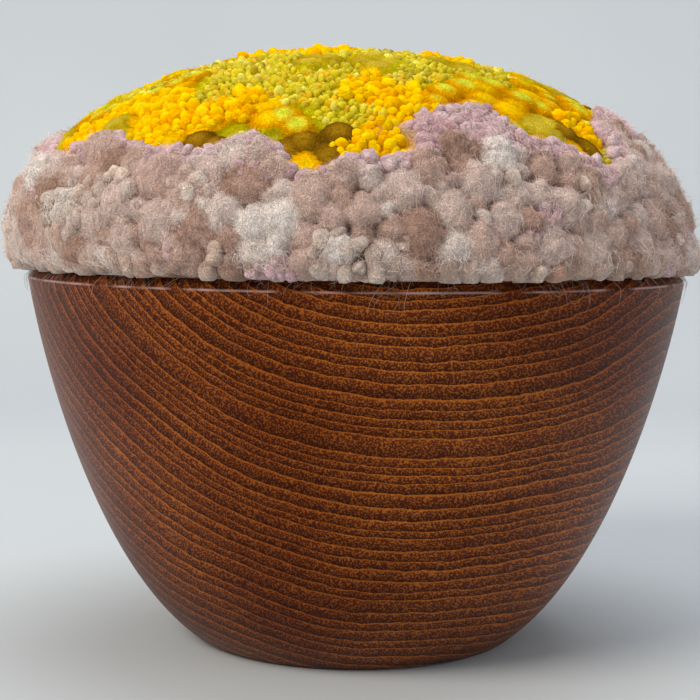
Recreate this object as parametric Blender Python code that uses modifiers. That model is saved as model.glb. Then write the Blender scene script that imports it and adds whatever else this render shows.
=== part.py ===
"""Domed punch needle piece seated in a turned wooden bowl.

Two pieces, as a maker would fit them: a teak bowl turned on a lathe, and one filled cushion whose
top is covered in looped and puffed wool. The cushion's lower part fills the bowl's hollow and its
pile hangs a little over the rim. Metres, +Z up, with the origin at the centre of the bowl's foot.
"""

import math
from collections import namedtuple

import bmesh
import bpy
import numpy as np

MM = 0.001

# The bowl's outer wall, a cubic curve from the foot up to the outer corner of the rim
FOOT_RADIUS = 49.3 * MM
FOOT_ROUNDING = 2.0 * MM
LOWER_HANDLE = (82.4 * MM, 22.6 * MM)
UPPER_HANDLE = (98.5 * MM, 91.3 * MM)
RIM_RADIUS = 102.0 * MM
CORNER_HEIGHT = 113.5 * MM
WALL_ROWS = 13
ROUNDING_ROWS = 3

# The rim: a chamfer, then a narrow flat top
CHAMFER_WIDTH = 3.8 * MM
CHAMFER_RISE = 4.0 * MM
RIM_TOP_RADIUS = RIM_RADIUS - CHAMFER_WIDTH
RIM_HEIGHT = CORNER_HEIGHT + CHAMFER_RISE

# The hollow, a cubic curve from the edge of its flat floor up to the rim's inner edge
FLOOR_RADIUS = 36.0 * MM
FLOOR_HEIGHT = 15.0 * MM
HOLLOW_LOWER_HANDLE = (76.0 * MM, 27.0 * MM)
HOLLOW_UPPER_HANDLE = (88.5 * MM, 92.0 * MM)
HOLLOW_RADIUS = 92.0 * MM
HOLLOW_ROWS = 6
BOWL_SEGMENTS = 72

# The cushion's base form under its pile: a half ellipsoid that turns in over the rim. The pile
# sits a little to one side of the bowl's axis.
DOME_RADIUS = 102.0 * MM
DOME_RISE = 58.3 * MM
BULGE_HEIGHT = CORNER_HEIGHT + 10.0 * MM
LIP_RADIUS = 101.0 * MM
LIP_HEIGHT = CORNER_HEIGHT + 1.8 * MM
PILE_SHIFT = -2.7 * MM
SHIFT_FADE = 0.12
QUARTER_POINTS = 240
DOME_RINGS = 44

# Clearance between the cushion and the wood, along the hollow and over the rim
SEAT_GAP = 0.4 * MM
RIM_GAP = 0.6 * MM

# The pile's puffs, laid on a sunflower spiral over the dome and jittered. They die away over the
# last share of the way to the lip.
PUFF_COUNT = 410
PUFF_SEED = 23
PUFF_JITTER = 2.0 * MM
PUFF_SIZE_SPREAD = 0.16
LIP_FADE = 0.04
GOLDEN_ANGLE = math.pi * (3.0 - math.sqrt(5.0))

# Pile zones, with the columns: share of the way from the crown to the lip where the row holds,
# puff radius, puff height. Between two rows the values are blended.
PILE_ZONES = (
    (0.00, 7.8 * MM, 2.8 * MM),
    (0.50, 7.6 * MM, 3.6 * MM),
    (0.64, 7.3 * MM, 5.0 * MM),
    (0.78, 7.4 * MM, 5.8 * MM),
    (1.00, 7.6 * MM, 5.6 * MM),
)

TEAK = (0.125, 0.045, 0.018)
WOOL = (0.470, 0.370, 0.320)

# The dome's section as arrays along its meridian: share of its length, radius, height, and the
# radial and upward parts of the outward normal
Section = namedtuple("Section", "share radius height out up")


def main():
    """Builds the bowl and the cushion in a collection named for the object."""
    for item in list(bpy.data.objects):
        bpy.data.objects.remove(item, do_unlink=True)
    collection = bpy.data.collections.new("punch_needle_dome_in_bowl")
    bpy.context.scene.collection.children.link(collection)

    bowl = make_bowl()
    cushion = make_cushion()
    dress(bowl, "lacquered_teak", TEAK, 0.35)
    dress(cushion, "wool_pile", WOOL, 0.95)
    for item in (bowl, cushion):
        collection.objects.link(item)


def cubic_curve(start, first_handle, second_handle, end, rows):
    """Points of a cubic curve as (radius, height) pairs, one more than its rows."""
    t = np.linspace(0.0, 1.0, rows + 1)[:, None]
    weights = np.hstack([(1 - t) ** 3, 3 * t * (1 - t) ** 2, 3 * t**2 * (1 - t), t**3])
    return weights @ np.array([start, first_handle, second_handle, end])


def hollow_curve():
    """The hollow's wall from its floor up to the rim's inner edge."""
    floor_edge = (FLOOR_RADIUS, FLOOR_HEIGHT)
    rim_edge = (HOLLOW_RADIUS, RIM_HEIGHT)
    return cubic_curve(floor_edge, HOLLOW_LOWER_HANDLE, HOLLOW_UPPER_HANDLE, rim_edge, HOLLOW_ROWS)


def make_bowl():
    """A profile turned about the axis: hollow, rim, chamfer, outer wall and rounded foot."""
    foot = np.array((FOOT_RADIUS, 0.0))
    corner = (RIM_RADIUS, CORNER_HEIGHT)
    wall = cubic_curve(foot, LOWER_HANDLE, UPPER_HANDLE, corner, WALL_ROWS)
    rise = (wall[1] - foot) / np.linalg.norm(wall[1] - foot)
    inward = np.array((-1.0, 0.0))
    rounding = cubic_curve(foot + rise * FOOT_ROUNDING, foot, foot, foot + inward * FOOT_ROUNDING, ROUNDING_ROWS)
    profile = [
        (0.0, FLOOR_HEIGHT),
        *hollow_curve(),
        (RIM_TOP_RADIUS, RIM_HEIGHT),
        *wall[:0:-1],
        *rounding,
        (0.0, 0.0),
    ]
    return turned("bowl", profile, BOWL_SEGMENTS)


def turned(name, profile, segments):
    """A solid of revolution from (radius, height) points that run down its outer side."""
    mesh = bpy.data.meshes.new(name)
    points = [(float(radius), 0.0, float(height)) for radius, height in profile]
    mesh.from_pydata(points, [(i, i + 1) for i in range(len(points) - 1)], [])
    item = bpy.data.objects.new(name, mesh)
    screw = item.modifiers.new("turning", "SCREW")
    screw.steps = screw.render_steps = segments
    screw.use_merge_vertices = True
    screw.merge_threshold = 0.00001
    screw.use_smooth_shade = True
    return item


def dome_section():
    """The dome's base section, from the crown out to the bulge and in again to the lip."""
    quarter = np.linspace(0.0, math.pi / 2, QUARTER_POINTS)
    turn_in = quarter[1:]
    radius = np.concatenate([
        DOME_RADIUS * np.sin(quarter),
        LIP_RADIUS + (DOME_RADIUS - LIP_RADIUS) * np.cos(turn_in),
    ])
    height = np.concatenate([
        BULGE_HEIGHT + DOME_RISE * np.cos(quarter),
        BULGE_HEIGHT - (BULGE_HEIGHT - LIP_HEIGHT) * np.sin(turn_in),
    ])
    steps = np.hypot(np.diff(radius), np.diff(height))
    along = np.concatenate([[0.0], np.cumsum(steps)])
    return Section(
        share=along / along[-1],
        radius=radius,
        height=height,
        out=-np.gradient(height, along),
        up=np.gradient(radius, along),
    )


def on_dome(section, share, azimuth):
    """Points and outward normals of the base form at a share of the meridian and an azimuth."""
    radius, height, out, up = (np.interp(share, section.share, row) for row in section[1:])
    shift = PILE_SHIFT * np.clip((1.0 - share) / SHIFT_FADE, 0.0, 1.0)
    cosine, sine = np.cos(azimuth), np.sin(azimuth)
    points = np.stack([radius * cosine + shift, radius * sine, height], axis=1)
    normals = np.stack([out * cosine, out * sine, up], axis=1)
    return points, normals


def puff_layout(section):
    """Centres, radii and heights of the pile's puffs, spread evenly over the dome's area."""
    strips = (section.radius[1:] + section.radius[:-1]) * np.diff(section.share)
    area = np.concatenate([[0.0], np.cumsum(strips)])
    number = np.arange(PUFF_COUNT)
    share = np.interp((number + 0.5) / PUFF_COUNT, area / area[-1], section.share)
    rng = np.random.default_rng(PUFF_SEED)
    centres, _ = on_dome(section, share, number * GOLDEN_ANGLE)
    centres += rng.uniform(-PUFF_JITTER, PUFF_JITTER, centres.shape)
    spread = 1.0 + rng.uniform(-PUFF_SIZE_SPREAD, PUFF_SIZE_SPREAD, (2, PUFF_COUNT))
    zone, zone_radius, zone_height = np.array(PILE_ZONES).T
    radii = np.interp(share, zone, zone_radius) * spread[0]
    heights = np.interp(share, zone, zone_height) * spread[1]
    return centres, radii, heights


def puff_relief(section, points):
    """How far the pile stands off the base: the highest of the round puffs over each point."""
    centres, radii, heights = puff_layout(section)
    distance = np.linalg.norm(points[:, None, :] - centres[None, :, :], axis=2)
    domes = np.sqrt(np.clip(1.0 - (distance / radii) ** 2, 0.0, 1.0)) * heights
    return domes.max(axis=1)


def make_cushion():
    """One filled solid: a lumpy dome above the rim and a plain plug that fills the hollow.

    The dome starts as a four-sided pyramid, subdivided into even triangles, whose square rings are
    blown up onto the base form and then raised by the puffs. Its edge is carried on over the
    chamfer and the rim and down the hollow, always clear of the wood.
    """
    bm = bmesh.new()
    bmesh.ops.create_cone(bm, segments=4, radius1=1.0, radius2=0.0, depth=1.0)
    bmesh.ops.remove_doubles(bm, verts=bm.verts[:], dist=0.0001)
    bmesh.ops.subdivide_edges(bm, edges=bm.edges[:], cuts=DOME_RINGS - 1, use_grid_fill=True)
    raise_pile(bm)
    carry_edge_down(bm)
    bmesh.ops.recalc_face_normals(bm, faces=bm.faces[:])

    mesh = bpy.data.meshes.new("punch_needle_cushion")
    bm.to_mesh(mesh)
    bm.free()
    mesh.shade_smooth()
    return bpy.data.objects.new("punch_needle_cushion", mesh)


def raise_pile(bm):
    """Moves the pyramid's points onto the dome and out to the pile's surface."""
    flat = np.array([vert.co[:2] for vert in bm.verts])
    share = np.minimum(np.abs(flat).sum(axis=1), 1.0)
    side = flat[:, 0] / np.maximum(share, 0.001)
    quarter_turns = np.where(flat[:, 1] >= 0.0, 1.0 - side, 3.0 + side)
    section = dome_section()
    points, normals = on_dome(section, share, quarter_turns * math.pi / 2)
    fade = np.clip((1.0 - share) / LIP_FADE, 0.0, 1.0)
    points += normals * (puff_relief(section, points) * fade)[:, None]
    for vert, point in zip(bm.verts, points):
        vert.co = point


def carry_edge_down(bm):
    """Extrudes the dome's open edge through the underside's rings and closes the plug's bottom."""
    edge = [item for item in bm.edges if item.is_boundary]
    for radius, height in underside_rings():
        extruded = bmesh.ops.extrude_edge_only(bm, edges=edge)["geom"]
        edge = [item for item in extruded if isinstance(item, bmesh.types.BMEdge)]
        for vert in (item for item in extruded if isinstance(item, bmesh.types.BMVert)):
            scale = radius / math.hypot(vert.co.x, vert.co.y)
            vert.co = (vert.co.x * scale, vert.co.y * scale, height)
    bmesh.ops.holes_fill(bm, edges=edge, sides=0)


def underside_rings():
    """(radius, height) of the cushion's rings below its lip, each clear of the bowl."""
    wall = hollow_curve()[::-1]
    slope = np.gradient(wall, axis=0)
    slope /= np.linalg.norm(slope, axis=1)[:, None]
    inward = np.stack([slope[:, 1], -slope[:, 0]], axis=1)
    plug = wall + inward * SEAT_GAP
    plug[0] = (HOLLOW_RADIUS - SEAT_GAP, RIM_HEIGHT + RIM_GAP)
    plug[-1] = (FLOOR_RADIUS, FLOOR_HEIGHT + SEAT_GAP)
    over_chamfer = (RIM_TOP_RADIUS, RIM_HEIGHT + RIM_GAP)
    return [over_chamfer] + [(float(radius), float(height)) for radius, height in plug]


def dress(item, name, colour, roughness):
    """Gives a piece its own Principled material."""
    material = bpy.data.materials.new(name)
    material.use_nodes = True
    shader = material.node_tree.nodes["Principled BSDF"]
    shader.inputs["Base Color"].default_value = (*colour, 1.0)
    shader.inputs["Roughness"].default_value = roughness
    shader.inputs["Metallic"].default_value = 0.0
    item.data.materials.append(material)


main()
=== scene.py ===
"""Looks of a domed punch needle cushion seated in a turned teak bowl.

The CAD frame gives the bowl and the cushion's solid. This script dresses both: a finely turned
bowl with teak's growth rings under a satin lacquer, and a cushion whose pile is made piece by
piece, as soft roving puffs, tight knots, mauve loops, a crown of small bright loops, velvety cut
pads and stray fibres. Every size is in metres, and every surface is a function of two parameters
worked out as whole arrays.
"""

import logging
import math
from collections.abc import Callable
from dataclasses import dataclass, field
from enum import Enum
from functools import partial

import bpy
import numpy as np
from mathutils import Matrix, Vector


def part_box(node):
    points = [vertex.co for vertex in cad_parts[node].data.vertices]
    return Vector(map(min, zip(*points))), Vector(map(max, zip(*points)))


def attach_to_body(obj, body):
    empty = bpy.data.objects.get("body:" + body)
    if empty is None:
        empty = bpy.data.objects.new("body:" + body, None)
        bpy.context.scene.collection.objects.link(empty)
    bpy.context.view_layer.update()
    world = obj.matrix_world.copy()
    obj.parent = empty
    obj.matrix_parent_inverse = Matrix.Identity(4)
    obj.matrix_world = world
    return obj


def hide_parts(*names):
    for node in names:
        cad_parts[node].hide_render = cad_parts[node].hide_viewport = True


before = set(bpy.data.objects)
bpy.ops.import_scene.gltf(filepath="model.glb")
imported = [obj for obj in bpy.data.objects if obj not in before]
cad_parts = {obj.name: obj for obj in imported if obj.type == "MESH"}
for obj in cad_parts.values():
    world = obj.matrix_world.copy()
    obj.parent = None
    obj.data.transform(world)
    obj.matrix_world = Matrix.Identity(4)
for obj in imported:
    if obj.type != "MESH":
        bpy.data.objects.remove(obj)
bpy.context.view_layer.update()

LOG = logging.getLogger("punch_needle_bowl")

MM = 0.001
FULL_TURN = 2.0 * math.pi
GOLDEN_ANGLE = math.pi * (3.0 - math.sqrt(5.0))
BODY = "root"
BOWL_NODE = "bowl"
CUSHION_NODE = "punch_needle_cushion"
WOOD_SLOT = "lacquered_teak"
WOOL_SLOT = "wool_pile"

# The rim, read from the frame
RIM_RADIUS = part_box(BOWL_NODE)[1].x
RIM_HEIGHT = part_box(BOWL_NODE)[1].z
CHAMFER_WIDTH = 3.8 * MM
CHAMFER_RISE = 4.0 * MM
CORNER_HEIGHT = RIM_HEIGHT - CHAMFER_RISE
RIM_TOP_RADIUS = RIM_RADIUS - CHAMFER_WIDTH

Array = np.ndarray
Range = tuple[float, float]
# A radius and a height
Profile = tuple[float, float]
Stops = tuple[tuple[float, str], ...]
Source = bpy.types.Node | bpy.types.NodeSocket
AddNode = Callable[..., bpy.types.Node]


class Patch(Enum):
    """What a patch of the crown is worked in."""

    BEADS = 0
    LOOPS = 1
    AMBER_PAD = 2
    OLIVE_PAD = 3
    KHAKI_PAD = 4


class Tuft(Enum):
    """What a stretch of the flank is worked in."""

    ROVING = 0
    KNOT = 1
    MAUVE = 2


def linear(code: str) -> tuple[float, float, float, float]:
    """Turns an sRGB hex colour into linear RGBA.

    Args:
        code: six hex digits after a hash mark.

    Returns:
        The four linear channels, with alpha 1.
    """
    channels = [int(code[i : i + 2], 16) / 255.0 for i in (1, 3, 5)]
    curve = [c / 12.92 if c <= 0.04045 else ((c + 0.055) / 1.055) ** 2.4 for c in channels]
    return (*curve, 1.0)


def palette(*codes: str) -> Array:
    """Linear RGB rows for several hex colours."""
    return np.array([linear(code)[:3] for code in codes])


def add_node(
    tree: bpy.types.NodeTree,
    kind: str,
    inputs: dict | None = None,
    stops: Stops = (),
    **settings: object,
) -> bpy.types.Node:
    """Adds one node with its settings and links.

    Args:
        tree: the material's node tree.
        kind: the node's type name, without the ShaderNode that all of them start with.
        inputs: input name or number to a value, or to the output socket that feeds it, or to
            the node whose first output does.
        stops: a colour ramp's stops, as (position, hex colour).
        **settings: the node's own properties.

    Returns:
        The new node.
    """
    node = tree.nodes.new("ShaderNode" + kind)
    for name, value in settings.items():
        setattr(node, name, value)
    for key, value in (inputs or {}).items():
        if isinstance(value, bpy.types.Node):
            value = next(socket for socket in value.outputs if socket.enabled)
        if isinstance(value, bpy.types.NodeSocket):
            tree.links.new(value, node.inputs[key])
        else:
            node.inputs[key].default_value = value
    if stops:
        elements = node.color_ramp.elements
        while len(elements) < len(stops):
            elements.new(1.0)
        for element, (position, code) in zip(elements, stops):
            element.position = position
            element.color = linear(code)
    return node


def new_material(name: str) -> tuple[bpy.types.Material, AddNode]:
    """An empty material and the function that adds nodes to it.

    Args:
        name: the material's name.

    Returns:
        The material, and add_node for its tree.
    """
    material = bpy.data.materials.new(name)
    material.use_nodes = True
    material.node_tree.nodes.clear()
    return material, partial(add_node, material.node_tree)


@dataclass(frozen=True)
class Teak:
    """Turned and lacquered teak. Gives dark red-brown wood with thin bright ring lines.

    The trunk's axis lies level, front to back, so the bowl's front shows end grain: growth rings
    cut across as nested arcs. Each ring starts with a thin orange line of large pores and darkens
    outwards, and orange pores speckle it all over. The satin lacquer adds an even, soft gloss.
    Teak's pores are about 0.25 mm wide, too fine to show, so they are drawn 0.40 mm wide.
    """

    name: str = "teak_turned_and_lacquered"
    ring_pitch: float = 3.1 * MM
    pore_size: float = 0.40 * MM
    pore_length: float = 3.2 * MM
    pore_relief: float = 0.05 * MM
    pore_colour: str = "#c4722a"
    pith: tuple[float, float, float] = (40.0 * MM, 0.0, CORNER_HEIGHT + 62.0 * MM)
    trunk_turn: tuple[float, float, float] = (math.radians(4.0), 0.0, math.radians(15.0))
    # Each bend of the rings: the noise's scale and detail, and how far a ring moves
    bends: tuple[tuple[float, float, float], ...] = (
        (12.0, 1.0, 12.0 * MM),
        (140.0, 2.0, 1.5 * MM),
        (700.0, 1.0, 0.45 * MM),
    )
    # From a ring's start to its end
    ring_colours: Stops = (
        (0.0, "#32120c"), (0.025, "#b26822"), (0.10, "#964e1c"), (0.17, "#622c18"),
        (0.60, "#4a2013"), (0.90, "#3a160e"), (1.0, "#32120c"),
    )
    cloud_colours: Stops = ((0.30, "#b09488"), (0.72, "#ffffff"))
    ior: float = 1.48
    specular: float = 0.24
    specular_tint: str = "#d07a3c"
    roughness: float = 0.42
    coat: float = 0.04
    coat_roughness: float = 0.22
    # A painted highlight along the rim's outer corner: its reach from the corner and its colour
    highlight_width: float = 0.40 * MM
    highlight_colour: str = "#a88c88"

    def build(self) -> bpy.types.Material:
        """Distance from the pith, bent by noises, gives the ring, and pores speckle it.

        Returns:
            The wood.
        """
        material, add = new_material(self.name)
        place = add("TexCoord").outputs["Object"]
        centred = add("VectorMath", {0: place, 1: self.pith}, operation="SUBTRACT")
        trunk = add("Mapping", {"Vector": centred, "Rotation": self.trunk_turn})
        share = self.ring_share(add, trunk)
        colour = add("ValToRGB", {"Fac": share}, stops=self.ring_colours)
        pores = self.pores(add, trunk, share)
        cloud = add("TexNoise", {"Vector": place, "Scale": 14.0, "Detail": 4.0})
        shade = add("ValToRGB", {"Fac": cloud}, stops=self.cloud_colours)
        rim_glint = self.painted_edge_highlight(add, place)
        for blend, amount, over in (
            ("MIX", pores, linear(self.pore_colour)),
            ("MULTIPLY", 1.0, shade),
            # Painted highlight: the rim's corner line is mixed towards a pale colour
            ("MIX", rim_glint, linear(self.highlight_colour)),
        ):
            layers = {"Factor": amount, "A": colour, "B": over}
            colour = add("Mix", layers, data_type="RGBA", blend_type=blend)
        bump = add("Bump", {"Strength": 0.3, "Distance": self.pore_relief, "Height": pores})
        shader = add("BsdfPrincipled", {
            "Base Color": colour,
            "Normal": bump,
            "Roughness": self.roughness,
            "IOR": self.ior,
            "Specular IOR Level": self.specular,
            "Specular Tint": linear(self.specular_tint),
            "Coat Weight": self.coat,
            "Coat Roughness": self.coat_roughness,
        })
        add("OutputMaterial", {"Surface": shader})
        return material

    def painted_edge_highlight(self, add: AddNode, place: Source) -> Source:
        """Where a painted highlight lies: a thin, uneven pale line along the rim's outer corner.

        Args:
            add: adds a node to the material.
            place: the point on the bowl.

        Returns:
            The painted highlight's strength.
        """
        height = add("SeparateXYZ", {"Vector": place}).outputs["Z"]
        offset = add("Math", {0: height, 1: CORNER_HEIGHT}, operation="SUBTRACT")
        away = add("Math", {0: offset}, operation="ABSOLUTE")
        near = {"From Min": 0.4 * self.highlight_width, "From Max": self.highlight_width, "To Min": 1.0, "To Max": 0.0}
        line = add("MapRange", {"Value": away, **near})
        cloud = add("TexNoise", {"Vector": place, "Scale": 90.0, "Detail": 2.0})
        amount = add("MapRange", {"Value": cloud, "From Min": 0.36, "From Max": 0.56, "To Max": 0.9})
        return add("Math", {0: line, 1: amount}, operation="MULTIPLY")

    def ring_share(self, add: AddNode, trunk: Source) -> Source:
        """How far through its growth ring a point is, from 0 at the ring's bright start.

        The distance from the pith in ring pitches, plus a noise of its own count, so that the
        rings' widths differ, and of that the part after the point.

        Args:
            add: adds a node to the material.
            trunk: the point in the trunk's frame.

        Returns:
            The share.
        """
        across = add("VectorMath", {0: trunk, 1: (1.0, 0.0, 1.0)}, operation="MULTIPLY")
        reach = add("VectorMath", {0: across}, operation="LENGTH")
        for scale, detail, bend in self.bends:
            noise = add("TexNoise", {"Vector": trunk, "Scale": scale, "Detail": detail})
            reach = add("Math", {0: noise, 1: bend, 2: reach}, operation="MULTIPLY_ADD")
        count = add("Math", {0: reach, 1: 1.0 / self.ring_pitch}, operation="MULTIPLY")
        season = add("TexNoise", {"W": count, "Scale": 0.37, "Detail": 1.0}, noise_dimensions="1D")
        uneven = add("Math", {0: season, 1: 1.3, 2: count}, operation="MULTIPLY_ADD")
        return add("Math", {0: uneven}, operation="FRACT")

    def pores(self, add: AddNode, trunk: Source, share: Source) -> Source:
        """Orange pores, round across the trunk and long along it, denser early in each ring.

        Args:
            add: adds a node to the material.
            trunk: the point in the trunk's frame.
            share: how far through its ring the point is.

        Returns:
            The pores' strength.
        """
        drawn = (1.0, self.pore_size / self.pore_length, 1.0)
        along = add("Mapping", {"Vector": trunk, "Scale": drawn})
        dots = add("TexNoise", {"Vector": along, "Scale": 0.8 / self.pore_size, "Detail": 1.0})
        sharp = add("MapRange", {"Value": dots, "From Min": 0.49, "From Max": 0.60})
        thinning = {"From Min": 0.05, "From Max": 0.95, "To Min": 0.80, "To Max": 0.22}
        dense = add("MapRange", {"Value": share, **thinning})
        return add("Math", {0: sharp, 1: dense}, operation="MULTIPLY")


@dataclass(frozen=True)
class Wool:
    """Wool in one of its forms. Gives a matt, fibrous surface with a soft sheen.

    The colour comes from the tuft's own tint, and the strands run round each tuft, because they
    follow the strand attribute, which holds a point's place inside its own tuft. Fine curly
    fibres are the lines along which a noise passes through its middle value. A wool fibre is
    0.03 mm wide, too fine to show, so these are drawn about 0.25 mm wide.
    """

    name: str
    curl: float
    contrast: float
    bump: float
    sheen: float = 0.0
    sheen_colour: str = "#fff4e8"
    sheen_roughness: float = 0.45
    roughness: float = 0.92
    specular: float = 0.1
    translucence: float = 0.0
    light_reach: tuple[float, float, float] = (1.0, 0.8, 0.5)
    light_depth: float = 1.2 * MM
    line: float = 0.055
    swirl_size: float = 2.5 * MM
    swirl_reach: float = 1.6 * MM

    def build(self) -> bpy.types.Material:
        """Two layers of curly lines and a broad mottle tint the wool and raise its fibres.

        Returns:
            The wool.
        """
        material, add = new_material(self.name)
        strand = add("Attribute", attribute_name="strand").outputs["Vector"]
        tint = add("Attribute", attribute_name="tint").outputs["Color"]
        swirl = add("TexNoise", {"Vector": strand, "Scale": 1.0 / self.swirl_size, "Detail": 1.0})
        moved = {0: swirl.outputs["Color"], 1: (self.swirl_reach,) * 3, 2: strand}
        swirled = add("VectorMath", moved, operation="MULTIPLY_ADD")
        coarse = self.curly_lines(add, swirled, 1.0 / self.curl)
        fine = self.curly_lines(add, swirled, 1.9 / self.curl)
        mottle = add("TexNoise", {"Vector": strand, "Scale": 0.55 / self.curl, "Detail": 2.0})
        fibres = add("Math", {0: fine, 1: 0.75, 2: coarse}, operation="MULTIPLY_ADD")
        height = add("Math", {0: mottle, 1: 1.6, 2: fibres}, operation="MULTIPLY_ADD")
        level = add("MapRange", {
            "Value": height,
            "From Min": 0.5,
            "From Max": 2.1,
            "To Min": 1.0 - self.contrast,
            "To Max": 1.0 + self.contrast,
        })
        colour = add("VectorMath", {0: tint, "Scale": level}, operation="SCALE")
        bump = add("Bump", {"Strength": 0.9, "Distance": self.bump, "Height": height})
        shader = add("BsdfPrincipled", {
            "Base Color": colour,
            "Normal": bump,
            "Roughness": self.roughness,
            "Specular IOR Level": self.specular,
            "Sheen Weight": self.sheen,
            "Sheen Roughness": self.sheen_roughness,
            "Sheen Tint": linear(self.sheen_colour),
            "Subsurface Weight": self.translucence,
            "Subsurface Radius": self.light_reach,
            "Subsurface Scale": self.light_depth,
        })
        add("OutputMaterial", {"Surface": shader})
        return material

    def curly_lines(self, add: AddNode, place: Source, scale: float) -> Source:
        """One on the lines where a noise passes through its middle value, and 0 off them.

        Args:
            add: adds a node to the material.
            place: the point in the tuft.
            scale: the noise's scale.

        Returns:
            The lines' strength.
        """
        noise = add("TexNoise", {"Vector": place, "Scale": scale, "Detail": 0.5})
        offset = add("Math", {0: noise, 1: 0.5}, operation="SUBTRACT")
        away = add("Math", {0: offset}, operation="ABSOLUTE")
        near = {"From Min": 0.0, "From Max": self.line, "To Min": 1.0, "To Max": 0.0}
        return add("MapRange", {"Value": away, **near})


@dataclass(frozen=True)
class Plaster:
    """Smooth painted plaster, for the floor and the backdrop. Gives a pale matt ground."""

    name: str = "pale_painted_plaster"
    colours: Stops = ((0.3, "#c4c8cb"), (0.7, "#c9cdcf"))
    roughness: float = 0.9
    specular: float = 0.1

    def build(self) -> bpy.types.Material:
        """A faint, broad unevenness between two pale greys.

        Returns:
            The plaster.
        """
        material, add = new_material(self.name)
        place = add("TexCoord").outputs["Object"]
        cloud = add("TexNoise", {"Vector": place, "Scale": 3.0, "Detail": 2.0})
        shader = add("BsdfPrincipled", {
            "Base Color": add("ValToRGB", {"Fac": cloud}, stops=self.colours),
            "Roughness": self.roughness,
            "Specular IOR Level": self.specular,
        })
        add("OutputMaterial", {"Surface": shader})
        return material


@dataclass
class Shape:
    """A mesh in the making: points, faces and what its material reads at each point.

    The tint is an RGB row for each point. The strand is its place inside its own tuft, or the
    point itself where none is given.
    """

    points: Array
    quads: Array
    triangles: Array = field(default_factory=lambda: np.zeros((0, 3), int))
    tint: Array | None = None
    strand: Array | None = None

    def to_object(self, name: str, material: bpy.types.Material) -> bpy.types.Object:
        """Puts the arrays into a smooth-shaded mesh object at the origin, and reports it.

        Args:
            name: the piece's name.
            material: its only material.

        Returns:
            The new object, linked to the scene.
        """
        mesh = bpy.data.meshes.new(name)
        mesh.vertices.add(len(self.points))
        mesh.vertices.foreach_set("co", self.points.astype(np.float32).ravel())
        corners = np.concatenate([self.quads.ravel(), self.triangles.ravel()])
        widths = np.repeat((4, 3), (len(self.quads), len(self.triangles)))
        starts = np.cumsum(widths) - widths
        mesh.loops.add(len(corners))
        mesh.loops.foreach_set("vertex_index", corners.astype(np.int32))
        mesh.polygons.add(len(starts))
        mesh.polygons.foreach_set("loop_start", starts.astype(np.int32))
        mesh.polygons.foreach_set("use_smooth", np.ones(len(starts), bool))
        if self.tint is not None:
            strand = self.points if self.strand is None else self.strand
            opaque = np.hstack([self.tint, np.ones((len(self.tint), 1))])
            for label, kind, channel, values in (
                ("strand", "FLOAT_VECTOR", "vector", strand),
                ("tint", "FLOAT_COLOR", "color", opaque),
            ):
                layer = mesh.attributes.new(label, kind, "POINT")
                layer.data.foreach_set(channel, values.astype(np.float32).ravel())
        mesh.update(calc_edges=True)
        mesh.materials.append(material)
        piece = bpy.data.objects.new(name, mesh)
        bpy.context.scene.collection.objects.link(piece)
        LOG.info("%s: %d triangles", name, 2 * len(self.quads) + len(self.triangles))
        return piece


def attach(piece: bpy.types.Object, slot: str, *replaced: str) -> bpy.types.Object:
    """Rides a piece on the part's only body and hides the CAD nodes that it stands for.

    Args:
        piece: the new object.
        slot: the record's material slot; not used.
        *replaced: CAD nodes that the piece stands for.

    Returns:
        The same object.
    """
    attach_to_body(piece, BODY)
    if replaced:
        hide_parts(*replaced)
    return piece


def closed_tubes(rings: int, segments: int, count: int = 1) -> tuple[Array, Array]:
    """Faces of closed tubes: quads from ring to ring, and a fan on the point at each end.

    A tube's points run ring by ring from its top, and its top and bottom points come last.

    Args:
        rings: number of rings of each tube.
        segments: points on each ring.
        count: how many such tubes follow each other.

    Returns:
        Four point numbers a quad and three a triangle, facing away from the tubes' axes.
    """
    here = np.arange(segments)
    after = (here + 1) % segments
    ring = np.arange(rings - 1)[:, None] * segments
    beneath = ring + segments
    quads = np.stack([ring + here, beneath + here, beneath + after, ring + after], axis=-1)
    end, last = rings * segments, (rings - 1) * segments
    top = np.stack([np.full(segments, end), here, after], axis=1)
    bottom = np.stack([np.full(segments, end + 1), last + after, last + here], axis=1)
    steps = (np.arange(count) * (end + 2))[:, None, None]
    fans = np.vstack([top, bottom]) + steps
    return (quads.reshape(-1, 4) + steps).reshape(-1, 4), fans.reshape(-1, 3)


def turned(radius: Array, azimuth: Array, height: Array) -> Array:
    """Points at a radius and an azimuth about the Z axis and at a height, as x, y, z."""
    parts = radius * np.cos(azimuth), radius * np.sin(azimuth), height
    return np.stack(np.broadcast_arrays(*parts), axis=-1)


def ramp(value: Array, start: float, end: float) -> Array:
    """0 up to the start, 1 from the end on, and a straight line between them."""
    return np.clip((value - start) / (end - start), 0.0, 1.0)


def squared_distances(points: Array, centres: Array) -> Array:
    """Each point's squared distances to all centres: both squares less twice the product."""
    square = (points**2).sum(axis=1)[:, None] + (centres**2).sum(axis=1)
    return np.clip(square - 2.0 * points @ centres.T, 0.0, None)


def pack(
    points: Array, radii: Array, closeness: float, set_points: Array, set_radii: Array
) -> Array:
    """Sets those tufts, one after the other, that keep clear of all tufts already set.

    Args:
        points: candidate places.
        radii: their radii.
        closeness: the least distance to a neighbour, as a share of both radii.
        set_points: places of the tufts set before.
        set_radii: their radii.

    Returns:
        The numbers of the tufts that were set.
    """
    chosen = []
    for number, (point, radius) in enumerate(zip(points, radii)):
        room = np.linalg.norm(set_points - point, axis=1)
        if np.all(room > closeness * (set_radii + radius)):
            set_points, set_radii = np.vstack([set_points, point]), np.append(set_radii, radius)
            chosen.append(number)
    return np.array(chosen, int)


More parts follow.
